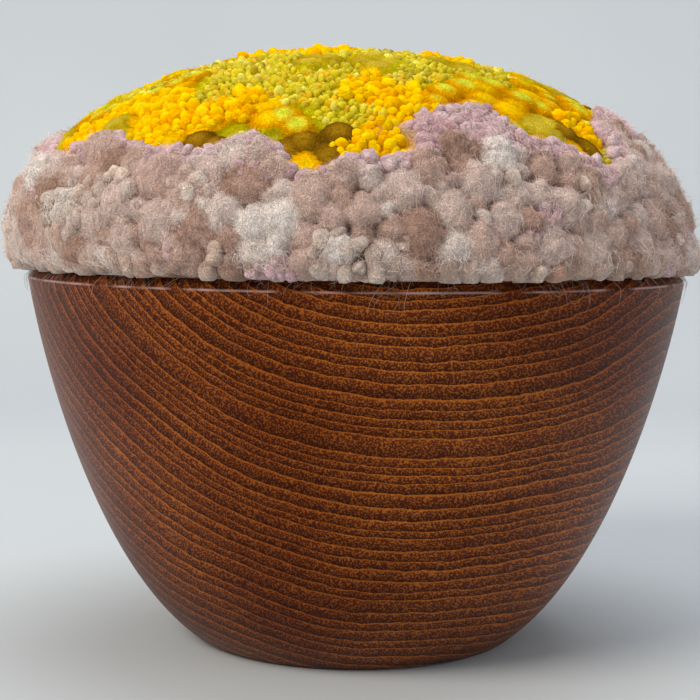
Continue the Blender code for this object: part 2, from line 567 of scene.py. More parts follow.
def cubic_curve(
    start: Profile, first: Profile, second: Profile, end: Profile, rows: int
) -> Array:
    """A cubic curve's points: the four corners weighted by the Bernstein polynomials.

    Args:
        start: first corner, as (radius, height).
        first: its handle.
        second: the last corner's handle.
        end: last corner.
        rows: steps along the curve.

    Returns:
        rows + 1 rows of (radius, height).
    """
    t = np.linspace(0.0, 1.0, rows + 1)[:, None]
    weights = np.hstack([(1 - t) ** 3, 3 * t * (1 - t) ** 2, 3 * t**2 * (1 - t), t**3])
    return weights @ np.array([start, first, second, end])


def random_field(points: Array, wavelength: float, seed: int, waves: int = 24) -> Array:
    """A smooth random value at each point: plane sine waves in random directions, added up.

    Args:
        points: rows of x, y, z.
        wavelength: the waves' typical length.
        seed: start of the draw of directions and phases.
        waves: how many waves are added.

    Returns:
        Values that mostly lie between -1 and 1.
    """
    rng = np.random.default_rng(seed)
    direction = rng.normal(size=(3, waves))
    direction /= np.linalg.norm(direction, axis=0)
    count = FULL_TURN / (wavelength * rng.uniform(0.7, 1.5, waves))
    phase = rng.uniform(0.0, FULL_TURN, waves)
    return np.sin(points @ (direction * count) + phase).sum(axis=1) * math.sqrt(1.0 / waves)


@dataclass
class DomeForm:
    """The cushion's base form under its pile: half an ellipsoid that turns in over the rim."""

    radius: float = 102.0 * MM
    rise: float = 58.3 * MM
    bulge_height: float = CORNER_HEIGHT + 10.0 * MM
    lip_radius: float = 101.0 * MM
    lip_height: float = CORNER_HEIGHT + 2.9 * MM
    shift: float = -2.7 * MM
    shift_fade: float = 0.12
    quarter_points: int = 240

    def __post_init__(self) -> None:
        """Works out the section: an ellipse's quarter down to the bulge, then a tighter one in."""
        quarter = np.linspace(0.0, math.pi / 2, self.quarter_points)
        turn_in = quarter[1:]
        radius = np.concatenate([
            self.radius * np.sin(quarter),
            self.lip_radius + (self.radius - self.lip_radius) * np.cos(turn_in),
        ])
        height = np.concatenate([
            self.bulge_height + self.rise * np.cos(quarter),
            self.bulge_height - (self.bulge_height - self.lip_height) * np.sin(turn_in),
        ])
        along = np.concatenate([[0.0], np.cumsum(np.hypot(np.diff(radius), np.diff(height)))])
        self.share = along / along[-1]
        self.rows = (radius, height, -np.gradient(height, along), np.gradient(radius, along))
        area = np.concatenate([[0.0], np.cumsum((radius[1:] + radius[:-1]) * np.diff(self.share))])
        self.area_share = area / area[-1]
        self.area = math.pi * area[-1] * along[-1]

    def at(self, share: Array, azimuth: Array) -> tuple[Array, Array]:
        """Points and outward normals at a share of the section and an azimuth.

        Args:
            share: 0 at the crown to 1 at the lip.
            azimuth: angle about the bowl's axis.

        Returns:
            Points and unit normals, a row for each entry.
        """
        radius, height, out, up = (np.interp(share, self.share, row) for row in self.rows)
        points = turned(radius, azimuth, height)
        points[..., 0] += self.shift * ramp(share, 1.0, 1.0 - self.shift_fade)
        return points, turned(out, azimuth, up)

    def sunflower(self, pitch: float, turn: float = 0.0) -> tuple[Array, Array]:
        """Spots spread evenly over the dome's area, each a golden angle on from the last.

        Args:
            pitch: distance between neighbours.
            turn: angle added to each azimuth.

        Returns:
            Each spot's share of the section and its azimuth.
        """
        number = np.arange(int(self.area / (0.87 * pitch**2)))
        share = np.interp((number + 0.5) / len(number), self.area_share, self.share)
        return share, number * GOLDEN_ANGLE + turn


@dataclass
class CoarsePuffs:
    """The large puffs that the cushion's solid has, laid out by the same rule and seed."""

    form: DomeForm
    count: int = 410
    seed: int = 23
    jitter: float = 2.0 * MM
    size_spread: float = 0.16
    # Share of the section, puff radius, puff height
    zones: tuple[tuple[float, float, float], ...] = (
        (0.00, 7.8 * MM, 2.8 * MM),
        (0.50, 7.6 * MM, 3.6 * MM),
        (0.64, 7.3 * MM, 5.0 * MM),
        (0.78, 7.4 * MM, 5.8 * MM),
        (1.00, 7.6 * MM, 5.6 * MM),
    )

    def __post_init__(self) -> None:
        """Places the puffs on a jittered sunflower spiral and sizes them by zone."""
        number = np.arange(self.count)
        self.share = np.interp((number + 0.5) / self.count, self.form.area_share, self.form.share)
        rng = np.random.default_rng(self.seed)
        centres, _ = self.form.at(self.share, number * GOLDEN_ANGLE)
        self.centres = centres + rng.uniform(-self.jitter, self.jitter, centres.shape)
        spread = 1.0 + rng.uniform(-self.size_spread, self.size_spread, (2, self.count))
        zone, zone_radius, zone_height = np.array(self.zones).T
        self.radii = np.interp(self.share, zone, zone_radius) * spread[0]
        self.heights = np.interp(self.share, zone, zone_height) * spread[1]


def wood_under(reach: Array, overhang: float) -> Array:
    """The rim's height at a distance from the axis, and a level just over its corner beyond."""
    slope = ramp(reach, RIM_RADIUS, RIM_TOP_RADIUS)
    return CORNER_HEIGHT + np.maximum(CHAMFER_RISE * slope, overhang)


def clear_of_rim(points: Array, gap: float = 0.3 * MM, overhang: float = 2.2 * MM) -> Array:
    """Lifts points that would sink into the bowl's rim until they clear it.

    Args:
        points: rows of x, y, z.
        gap: the height kept above the wood.
        overhang: the lowest level kept outside the rim, above its corner.

    Returns:
        The points, with their heights no lower than the rim's surface under them.
    """
    reach = np.hypot(points[..., 0], points[..., 1])
    lifted = points.copy()
    lifted[..., 2] = np.maximum(points[..., 2], wood_under(reach, overhang) + gap)
    return lifted


def seat_on_rim(centres: Array, radii: Array, overhang: float = 2.4 * MM) -> Array:
    """Lifts round tufts until they rest on the rim.

    A tuft's centre lies no lower than the wood under each point of its width plus half the
    tuft's thickness there.

    Args:
        centres: rows of x, y, z.
        radii: the tufts' radii.
        overhang: the lowest level outside the rim, above its corner.

    Returns:
        The centres, lifted where they have to be.
    """
    across = np.linspace(-1.0, 1.0, 13)
    reach = np.hypot(centres[:, 0], centres[:, 1])[:, None] + across * radii[:, None]
    half = radii[:, None] * np.sqrt(1.0 - across**2)
    lifted = centres.copy()
    lifted[:, 2] = np.maximum(centres[:, 2], (wood_under(reach, overhang) + half).max(axis=1))
    return lifted


def frames_for(normals: Array, rng: np.random.Generator) -> Array:
    """Frames whose third axis is each normal, with a random turn about it.

    Args:
        normals: unit rows.
        rng: where the turns come from.

    Returns:
        An array of 3 by 3 matrices, their columns the two tangents and the normal.
    """
    helper = np.where(np.abs(normals[:, 2:]) < 0.9, (0.0, 0.0, 1.0), (1.0, 0.0, 0.0))
    first = np.cross(helper, normals)
    first /= np.linalg.norm(first, axis=1)[:, None]
    second = np.cross(normals, first)
    turn = rng.uniform(0.0, FULL_TURN, len(normals))[:, None]
    a = first * np.cos(turn) + second * np.sin(turn)
    b = second * np.cos(turn) - first * np.sin(turn)
    return np.stack([a, b, normals], axis=-1)


@dataclass(frozen=True)
class TuftKind:
    """How one kind of tuft is made: its spacing, sizes, mesh, unevenness and colours.

    A tuft's half sizes are its size times a share for each axis, drawn between the least and the
    greatest shares. On the flank it is packed by its closeness, its top stands at a height above
    the base form, and it lies within a reach of the rim. On the crown its middle rises off the
    base form instead, and its lots say how its colours are shared out.
    """

    rings: int
    segments: int
    pitch: float
    size: Range
    colours: tuple[str, ...]
    least: tuple[float, float, float] = (0.92, 0.85, 0.85)
    greatest: tuple[float, float, float] = (1.20, 1.05, 1.0)
    wobble: float = 0.22
    lean: Range = (0.15, 0.75)
    grain: float = 0.6
    spread: float = 0.08
    marbling: float = 0.5
    closeness: float = 0.0
    top: float = 0.0
    near: float = 0.0
    rise: float = 0.0
    rise_swing: float = 0.0
    lots: tuple[float, ...] = ()


@dataclass
class Tufts:
    """Many soft round tufts, each a ball drawn out along its frame and made uneven.

    A point of a ball is its direction, from a polar angle and a turn, times the tuft's three half
    sizes, times one plus a few sine waves of the direction. The ball's own pole, which its strands
    run round, leans at random away from the cushion's normal.
    """

    kind: TuftKind
    centres: Array
    normals: Array
    half_sizes: Array
    rng: np.random.Generator
    choice: Array | None = None
    waves: int = 4
    wave_count: float = 2.4

    def __post_init__(self) -> None:
        """Draws each tuft's frame, lean, waves and two tints."""
        count = len(self.centres)
        self.frames = frames_for(self.normals, self.rng)
        lean = self.rng.uniform(*self.kind.lean, count)
        cosine, sine, none, one = np.cos(lean), np.sin(lean), np.zeros(count), np.ones(count)
        lean_rows = [cosine, none, sine, none, one, none, -sine, none, cosine]
        self.leans = np.stack(lean_rows, axis=-1).reshape(count, 3, 3)
        self.wave_vectors = self.rng.normal(size=(count, 3, self.waves)) * self.wave_count
        self.wave_phases = self.rng.uniform(0.0, FULL_TURN, (count, 1, self.waves))
        self.offsets = self.rng.uniform(-1.0, 1.0, (count, 1, 3))
        colours = palette(*self.kind.colours)
        if self.choice is None:
            self.choice = self.rng.integers(0, len(colours), count)
        level = 1.0 + self.rng.normal(0.0, self.kind.spread, (count, 1))
        self.tints = colours[self.choice] * level
        self.other_tints = colours[self.rng.integers(0, len(colours), count)] * level

    def ball(self) -> tuple[Array, Array]:
        """Directions and polar angles of a ball's points, ring by ring, with the poles last.

        Returns:
            A unit row and an angle for each point.
        """
        polar = math.pi * np.arange(1, self.kind.rings + 1) / (self.kind.rings + 1)
        turn = np.arange(self.kind.segments) * FULL_TURN / self.kind.segments
        polar, turn = (a.ravel() for a in np.meshgrid(polar, turn, indexing="ij"))
        polar, turn = np.append(polar, (0.0, math.pi)), np.append(turn, (0.0, 0.0))
        return turned(np.sin(polar), turn, np.cos(polar)), polar

    def place(self, directions: Array) -> Array:
        """World points of every tuft for directions in its ball's own frame.

        Args:
            directions: unit rows.

        Returns:
            Points of shape (tufts, directions, 3).
        """
        phase = directions @ self.wave_vectors + self.wave_phases
        swell = np.sin(phase).sum(axis=-1, keepdims=True) / math.sqrt(self.waves)
        leaned = directions @ np.transpose(self.leans, (0, 2, 1))
        sized = leaned * (1.0 + self.kind.wobble * swell) * self.half_sizes[:, None, :]
        return sized @ np.transpose(self.frames, (0, 2, 1)) + self.centres[:, None, :]

    def shape(self) -> Shape:
        """All the tufts as one mesh.

        The strand attribute is a point's place on a thin cylinder whose length is the polar
        angle, so a pattern on it runs in rings round the tuft's pole.

        Returns:
            The mesh.
        """
        directions, polar = self.ball()
        size = self.half_sizes.mean(axis=1)[:, None, None]
        on_cylinder = np.column_stack([directions[:, :2] * self.kind.grain, polar])
        phase = directions @ self.wave_vectors[:, :, :1] + self.wave_phases[:, :, :1]
        marble = (0.5 + 0.5 * np.sin(phase)) * self.kind.marbling
        tint = self.tints[:, None, :] * (1.0 - marble) + self.other_tints[:, None, :] * marble
        return Shape(
            clear_of_rim(self.place(directions)).reshape(-1, 3),
            *closed_tubes(self.kind.rings, self.kind.segments, len(self.centres)),
            tint.reshape(-1, 3),
            (on_cylinder * size + self.offsets).reshape(-1, 3),
        )


def spindles(paths: Array, widths: Array, tints: Array, up: Array) -> Shape:
    """Fine fibres as closed spindles: a small triangle carried along each path.

    The cross section's radius is the root of a half sine wave, so it shrinks to a point at both
    of the path's ends.

    Args:
        paths: centre lines, shape (fibres, points, 3).
        widths: each fibre's greatest width.
        tints: an RGB row for each fibre.
        up: a direction off each fibre's line, to turn the cross section by.

    Returns:
        All the fibres as one mesh.
    """
    count, steps = paths.shape[:2]
    tangent = np.gradient(paths, axis=1)
    tangent /= np.maximum(np.linalg.norm(tangent, axis=2, keepdims=True), 1e-9)
    side = np.cross(tangent, up[:, None, :])
    side /= np.maximum(np.linalg.norm(side, axis=2, keepdims=True), 1e-9)
    normal = np.cross(side, tangent)
    share = np.linspace(0.0, 1.0, steps)[1:-1]
    radius = 0.5 * widths[:, None] * np.sqrt(np.sin(math.pi * share))
    corner = np.arange(3)[:, None] * FULL_TURN / 3
    inner = slice(1, -1)
    spokes = side[:, inner, None, :] * np.sin(corner) + normal[:, inner, None, :] * np.cos(corner)
    ring = paths[:, inner, None, :] + spokes * radius[:, :, None, None]
    points = np.concatenate([ring.reshape(count, -1, 3), paths[:, :1], paths[:, -1:]], axis=1)
    tint = np.broadcast_to(tints[:, None, :], points.shape)
    # The corners run the other way round than a tube's
    quads, fans = closed_tubes(steps - 2, 3, count)
    return Shape(points.reshape(-1, 3), quads[:, ::-1], fans[:, ::-1], tint.reshape(-1, 3))


@dataclass
class TurnedBowl:
    """The teak bowl: a curved wall on a flat foot, a chamfered rim and a plain hollow."""

    foot_radius: float = 49.3 * MM
    foot_rounding: float = 2.0 * MM
    floor_radius: float = 36.0 * MM
    floor_height: float = 15.0 * MM
    hollow_radius: float = 92.0 * MM
    # The curves' two handles, from the wall's top down and from the hollow's floor up
    wall_handles: tuple[Profile, Profile] = ((98.5 * MM, 91.3 * MM), (82.4 * MM, 22.6 * MM))
    hollow_handles: tuple[Profile, Profile] = ((76.0 * MM, 27.0 * MM), (88.5 * MM, 92.0 * MM))
    edge_rounding: float = 0.55 * MM
    corner_pull: float = 0.6
    hollow_rows: int = 12
    wall_rows: int = 44
    rounding_rows: int = 5
    segments: int = 208

    def hollow(self) -> Array:
        """The hollow's curve, from its floor up to the rim."""
        floor, brim = (self.floor_radius, self.floor_height), (self.hollow_radius, RIM_HEIGHT)
        return cubic_curve(floor, *self.hollow_handles, brim, self.hollow_rows)

    def section(self) -> Array:
        """The turned profile, from the hollow's floor over the rim and down to the foot.

        Each rounded corner is a cubic curve whose handles lie a share of the way to the corner.

        Returns:
            Rows of (radius, height).
        """
        hollow = self.hollow()
        top, foot = (RIM_RADIUS, CORNER_HEIGHT), (self.foot_radius, 0.0)
        wall = cubic_curve(top, *self.wall_handles, foot, self.wall_rows)
        corners = np.vstack([hollow, (RIM_TOP_RADIUS, RIM_HEIGHT), wall, (0.0, 0.0)])
        rounded = {len(hollow) + i: self.edge_rounding for i in (-1, 0, 1)}
        rounded[len(corners) - 2] = self.foot_rounding
        rows = [np.array([[0.0, self.floor_height]])]
        for number, corner in enumerate(corners[:-1]):
            if number not in rounded:
                rows.append(corner[None])
                continue
            ways = corners[number - 1] - corner, corners[number + 1] - corner
            start, end = (corner + w / np.linalg.norm(w) * rounded[number] for w in ways)
            first, second = (
                corner * self.corner_pull + at * (1.0 - self.corner_pull) for at in (start, end)
            )
            rows.append(cubic_curve(start, first, second, end, self.rounding_rows))
        return np.vstack([*rows, corners[-1:]])

    def build(self, finish: bpy.types.Material) -> bpy.types.Object:
        """Sweeps the section through a full turn, in place of the CAD node.

        Args:
            finish: the wood.

        Returns:
            The bowl.
        """
        radius, height = self.section().T
        azimuth = np.arange(self.segments) * FULL_TURN / self.segments
        rings = turned(radius[1:-1, None], azimuth, height[1:-1, None])
        points = np.vstack([rings.reshape(-1, 3), (0.0, 0.0, height[0]), (0.0, 0.0, height[-1])])
        shape = Shape(points, *closed_tubes(len(rings), self.segments))
        return attach(shape.to_object("teak_bowl", finish), WOOD_SLOT, BOWL_NODE)


@dataclass
class ZoneMap:
    """Says where the bright crown ends and what each stretch of the cushion is worked in.

    The crown's edge is an uneven line round the dome, drawn by smooth random fields. Inside it
    the patches are the cells round scattered seeds, each worked in one kind of tuft. Outside it a
    mauve band follows the edge, and further mauve and knotted stretches stand in the roving.
    """

    form: DomeForm
    edge: float = 0.630
    edge_left: float = 0.045
    edge_front: float = 0.100
    edge_swing: float = 0.050
    edge_gap: float = 0.004
    lip: float = 0.985
    mauve_band: float = 0.050
    band_swing: float = 0.7
    blush_start: float = 0.78
    blush_level: float = 1.00
    knot_start: float = 0.80
    knot_level: float = 1.0
    knot_gain: float = 1.4
    knot_middle: float = 0.82
    patch_pitch: float = 15.0 * MM
    patch_jitter: float = 2.6 * MM
    seed: int = 71
    # Kind, the lots from and up to which it is drawn, and how deep in the crown it may lie.
    # A later row overrides an earlier one
    patches: tuple[tuple[Patch, float, float, float], ...] = (
        (Patch.KHAKI_PAD, 0.00, 0.12, math.inf),
        (Patch.LOOPS, 0.78, 1.00, math.inf),
        (Patch.AMBER_PAD, 0.89, 1.00, math.inf),
        (Patch.LOOPS, 0.36, 1.00, 0.22),
        (Patch.AMBER_PAD, 0.54, 1.00, 0.25),
        (Patch.OLIVE_PAD, 0.80, 1.00, 0.07),
    )

    def __post_init__(self) -> None:
        """Scatters the patches' seeds and chooses their kinds by how far out they lie."""
        rng = np.random.default_rng(self.seed)
        share, azimuth = self.form.sunflower(self.patch_pitch, 0.7)
        centres, _ = self.form.at(share, azimuth)
        self.seeds = centres + rng.normal(0.0, self.patch_jitter, centres.shape)
        lot = rng.uniform(0.0, 1.0, len(share))
        depth = self.crown_depth(self.seeds, share)
        self.kinds = np.full(len(share), Patch.BEADS.value)
        for kind, least, most, deepest in self.patches:
            self.kinds[(lot >= least) & (lot < most) & (depth < deepest)] = kind.value

    def crown_depth(self, points: Array, share: Array) -> Array:
        """How far inside the crown's edge each point is, in shares of the section.

        Args:
            points: rows of x, y, z.
            share: their shares of the section.

        Returns:
            Positive inside the crown, negative outside it.
        """
        swing = random_field(points, 60.0 * MM, self.seed + 1)
        swing += 0.6 * random_field(points, 23.0 * MM, self.seed + 2)
        left = -points[:, 0] / self.form.radius
        front = ramp(points[:, 1], 0.0, -self.form.radius)
        tilt = self.edge_left * left + self.edge_front * front
        return self.edge + tilt + self.edge_swing * swing - share

    def patch(self, points: Array) -> Array:
        """The kind of crown patch under each point: that of the nearest seed."""
        return self.kinds[squared_distances(points, self.seeds).argmin(axis=1)]

    def stretch(self, points: Array, share: Array) -> Array:
        """The kind of flank tuft under each point.

        Args:
            points: rows of x, y, z.
            share: their shares of the section.

        Returns:
            Tuft values.
        """
        below = -self.crown_depth(points, share)
        swing = 1.0 + self.band_swing * random_field(points, 28.0 * MM, self.seed + 3)
        blush = random_field(points, 26.0 * MM, self.seed + 4)
        tight = random_field(points, 30.0 * MM, self.seed + 5)
        knotted = tight > self.knot_level - self.knot_gain * (share - self.knot_middle)
        kinds = np.full(len(points), Tuft.ROVING.value)
        kinds[knotted & (share > self.knot_start)] = Tuft.KNOT.value
        kinds[(blush > self.blush_level) & (share > self.blush_start)] = Tuft.MAUVE.value
        kinds[below < self.mauve_band * swing] = Tuft.MAUVE.value
        return kinds

    def flank_spots(
        self, pitch: float, kinds: tuple[Tuft, ...], rng: np.random.Generator
    ) -> tuple[Array, Array]:
        """Even spots outside the crown, in a random order.

        Args:
            pitch: distance between neighbours.
            kinds: the stretches they may lie in.
            rng: where the order and jitter come from.

        Returns:
            Base points and normals.
        """
        share, azimuth = self.form.sunflower(pitch, rng.uniform(0.0, FULL_TURN))
        points, normals = self.form.at(share, azimuth)
        points = points + rng.normal(0.0, 0.15 * pitch, points.shape)
        keep = (self.crown_depth(points, share) < -self.edge_gap) & (share < self.lip)
        keep &= np.isin(self.stretch(points, share), [kind.value for kind in kinds])
        order = rng.permutation(np.flatnonzero(keep))
        return points[order], normals[order]


@dataclass
class VelvetPads:
    """The crown's velvety cut pads: low pillows that run into each other.

    A pad rises as a half ellipse of its distance from the centre. Its colour goes from a darker
    foot, painted shade, over its body to a lighter middle, painted light, which is bright green in
    a few of the amber ones.
    """

    form: DomeForm
    zones: ZoneMap
    pitch: float = 8.2 * MM
    jitter: float = 0.16
    radius: Range = (4.8 * MM, 6.8 * MM)
    height: Range = (1.7 * MM, 3.0 * MM)
    low: float = 0.4 * MM
    level: Range = (0.86, 1.12)
    past_edge: float = 0.03
    eyes: float = 0.62
    seed: int = 13
    # How much further a pad's colour reaches for its height, in shares of its radius
    height_pull: float = 0.04 / MM
    # Where the body turns to the painted-shade foot, and to the painted-light middle, in radius
    # shares
    shaded_foot_band: Range = (0.55, 1.0)
    lit_middle_band: Range = (0.60, 0.30)
    # Painted-shade foot, body and painted-light middle of the pads of each kind, in the order of
    # Patch
    colours: tuple[tuple[str, str, str], ...] = (
        ("#a89a04", "#c8b808", "#d0c010"),
        ("#e09c00", "#fcc000", "#ffcc04"),
        ("#cc8400", "#f2ae00", "#ffcc08"),
        ("#6a4a08", "#8a620c", "#a87c14"),
        ("#b0920c", "#ccac1c", "#d8bc34"),
    )
    eye: str = "#e4e238"

    def __post_init__(self) -> None:
        """Scatters the pads over the crown and draws their sizes and colours."""
        rng = np.random.default_rng(self.seed)
        share, azimuth = self.form.sunflower(self.pitch, 2.1)
        centres, _ = self.form.at(share, azimuth)
        centres = centres + rng.normal(0.0, self.jitter * self.pitch, centres.shape)
        self.centres = centres[self.zones.crown_depth(centres, share) > -self.past_edge]
        count = len(self.centres)
        self.radii = rng.uniform(*self.radius, count)
        kinds = self.zones.patch(self.centres)
        soft = kinds >= Patch.AMBER_PAD.value
        self.heights = np.where(soft, rng.uniform(*self.height, count), self.low)
        tints = np.array([palette(*row) for row in self.colours])[kinds]
        self.tints = tints * rng.uniform(*self.level, (count, 1, 1))
        eyed = (kinds == Patch.AMBER_PAD.value) & (rng.uniform(0.0, 1.0, count) < self.eyes)
        self.tints[eyed, 2] = palette(self.eye)

    def surface(self, points: Array) -> tuple[Array, Array]:
        """The pads' height and colour, with painted shade at the feet and painted light in the
        middles.

        Args:
            points: points on the base form.

        Returns:
            A height and an RGB row for each point.
        """
        distance = np.sqrt(squared_distances(points, self.centres)) / self.radii
        domes = np.sqrt(np.clip(1.0 - distance**2, 0.0, 1.0)) * self.heights
        domes += self.low * (distance < 1.0)
        nearest = (distance - self.heights * self.height_pull).argmin(axis=1)
        reach = distance[np.arange(len(points)), nearest][:, None]
        foot, body, middle = (self.tints[nearest, i] for i in range(3))
        # Painted shade towards each pad's foot and painted light towards its middle
        tint = body + (foot - body) * ramp(reach, *self.shaded_foot_band)
        return domes.max(axis=1), tint + (middle - body) * ramp(reach, *self.lit_middle_band)


@dataclass
class Fleece:
    """The flank's roving as one soft surface: puffs of all sizes that melt into each other.

    A puff rises as a half ellipse of its distance from the centre. The surface is a root of the
    sum of the same power of all the puffs' heights and of a floor's, which fills the creases
    between them, and its colour is the puffs' own, mixed in the shares that they have in the sum.
    In the creases the floor's darker colour paints shade, and in the mauve stretches it is mauve.
    The puffs are packed: the solid's own large ones first, then ever smaller ones wherever they
    keep clear of those already set.
    """

    form: DomeForm
    puffs: CoarsePuffs
    zones: ZoneMap
    power: float = 12.0
    floor: float = 1.7 * MM
    lump: float = 0.30 * MM
    warp: float = 0.55 * MM
    mauve_rise: float = 1.2 * MM
    lip_fade: float = 0.04
    past_edge: float = 0.03
    large_radius: Range = (0.74, 0.98)
    large_height: Range = (0.84, 1.0)
    height_spread: float = 0.5 * MM
    shade_middle: float = 0.52
    shade_swing: float = 0.19
    shade_spread: float = 0.18
    rows_at_once: int = 4000
    seed: int = 41
    # From dark to light
    roving: tuple[str, ...] = (
        "#b08d7c", "#bc9989", "#c8a798", "#d2b4a7", "#dbc2b7", "#e3cec5", "#ead9d0", "#f0e2da",
    )
    mauve: tuple[str, str] = ("#dcaeb4", "#edc9cc")
    # Painted shade: the darker colour that the creases between the puffs take
    crease_shade: str = "#95766a"
    # Pitch, least radius, greatest radius, closeness and height of each size that is packed
    sizes: tuple[tuple[float, float, float, float, float], ...] = (
        (2.0 * MM, 3.4 * MM, 5.4 * MM, 0.68, 4.9 * MM),
        (1.6 * MM, 1.9 * MM, 3.0 * MM, 0.70, 4.2 * MM),
    )

    def __post_init__(self) -> None:
        """Packs the puffs and draws their heights and colours."""
        rng = np.random.default_rng(self.seed)
        kinds = self.zones.stretch(self.puffs.centres, self.puffs.share)
        depth = self.zones.crown_depth(self.puffs.centres, self.puffs.share)
        large = (kinds != Tuft.MAUVE.value) & (depth < -self.past_edge)
        self.centres = self.puffs.centres[large]
        self.radii = self.puffs.radii[large] * rng.uniform(*self.large_radius, large.sum())
        self.heights = self.puffs.heights[large] * rng.uniform(*self.large_height, large.sum())
        for pitch, least, greatest, closeness, height in self.sizes:
            points, _ = self.zones.flank_spots(pitch, (Tuft.ROVING, Tuft.KNOT), rng)
            radii = np.sort(rng.uniform(least, greatest, len(points)))[::-1]
            chosen = pack(points, radii, closeness, self.centres, self.radii)
            heights = height + rng.normal(0.0, self.height_spread, len(chosen))
            self.centres = np.vstack([self.centres, points[chosen]])
            self.radii = np.append(self.radii, radii[chosen])
            self.heights = np.append(self.heights, heights)
        self.tints = palette(*self.roving)[self.shades(self.centres, len(self.roving), rng)]

    def shades(self, points: Array, count: int, rng: np.random.Generator) -> Array:
        """Numbers of shades from dark to light, alike for neighbours.

        Args:
            points: the puffs' or tufts' places.
            count: how many shades there are.
            rng: where each one's own part comes from.

        Returns:
            A number from 0 to count - 1 for each point.
        """
        broad = self.shade_middle + self.shade_swing * random_field(points, 20.0 * MM, self.seed + 7)
        own = rng.normal(0.0, self.shade_spread, len(points))
        return np.clip(((broad + own) * count).astype(int), 0, count - 1)

    def surface(self, points: Array, share: Array) -> tuple[Array, Array]:
        """The fleece's height above the base form and its colour, with painted shade in the creases.

        Args:
            points: points on the base form.
            share: their shares of the section.

        Returns:
            A height and an RGB row for each point.
        """
        warp = [random_field(points, 5.0 * MM, self.seed + 20 + i, 12) for i in range(3)]
        warped = points + self.warp * np.stack(warp, axis=1)
        total, mixed = [], []
        for rows in np.array_split(warped, len(points) // self.rows_at_once + 1):
            square = squared_distances(rows, self.centres)
            level = np.sqrt(np.clip(1.0 - square / self.radii**2, 0.0, 1.0)) * self.heights
            weight = (level / self.floor) ** self.power
            total.append(weight.sum(axis=1))
            mixed.append(weight @ self.tints)
        total = np.concatenate(total) + 1.0
        mauve = self.zones.stretch(points, share) == Tuft.MAUVE.value
        soft = ramp(random_field(points, 4.0 * MM, self.seed + 30), -1.0, 1.0)[:, None]
        low, high = palette(*self.mauve)
        # Painted shade in the creases, except in mauve stretches, where the floor is mauve
        floor = np.where(mauve[:, None], low + (high - low) * soft, palette(self.crease_shade))
        height = self.floor * total ** (1.0 / self.power) + self.mauve_rise * mauve
        height += self.lump * random_field(points, 2.6 * MM, self.seed + 31, 32)
        fade = ramp(share, 1.0, 1.0 - self.lip_fade)
        return height * fade, (np.vstack(mixed) + floor) / total[:, None]


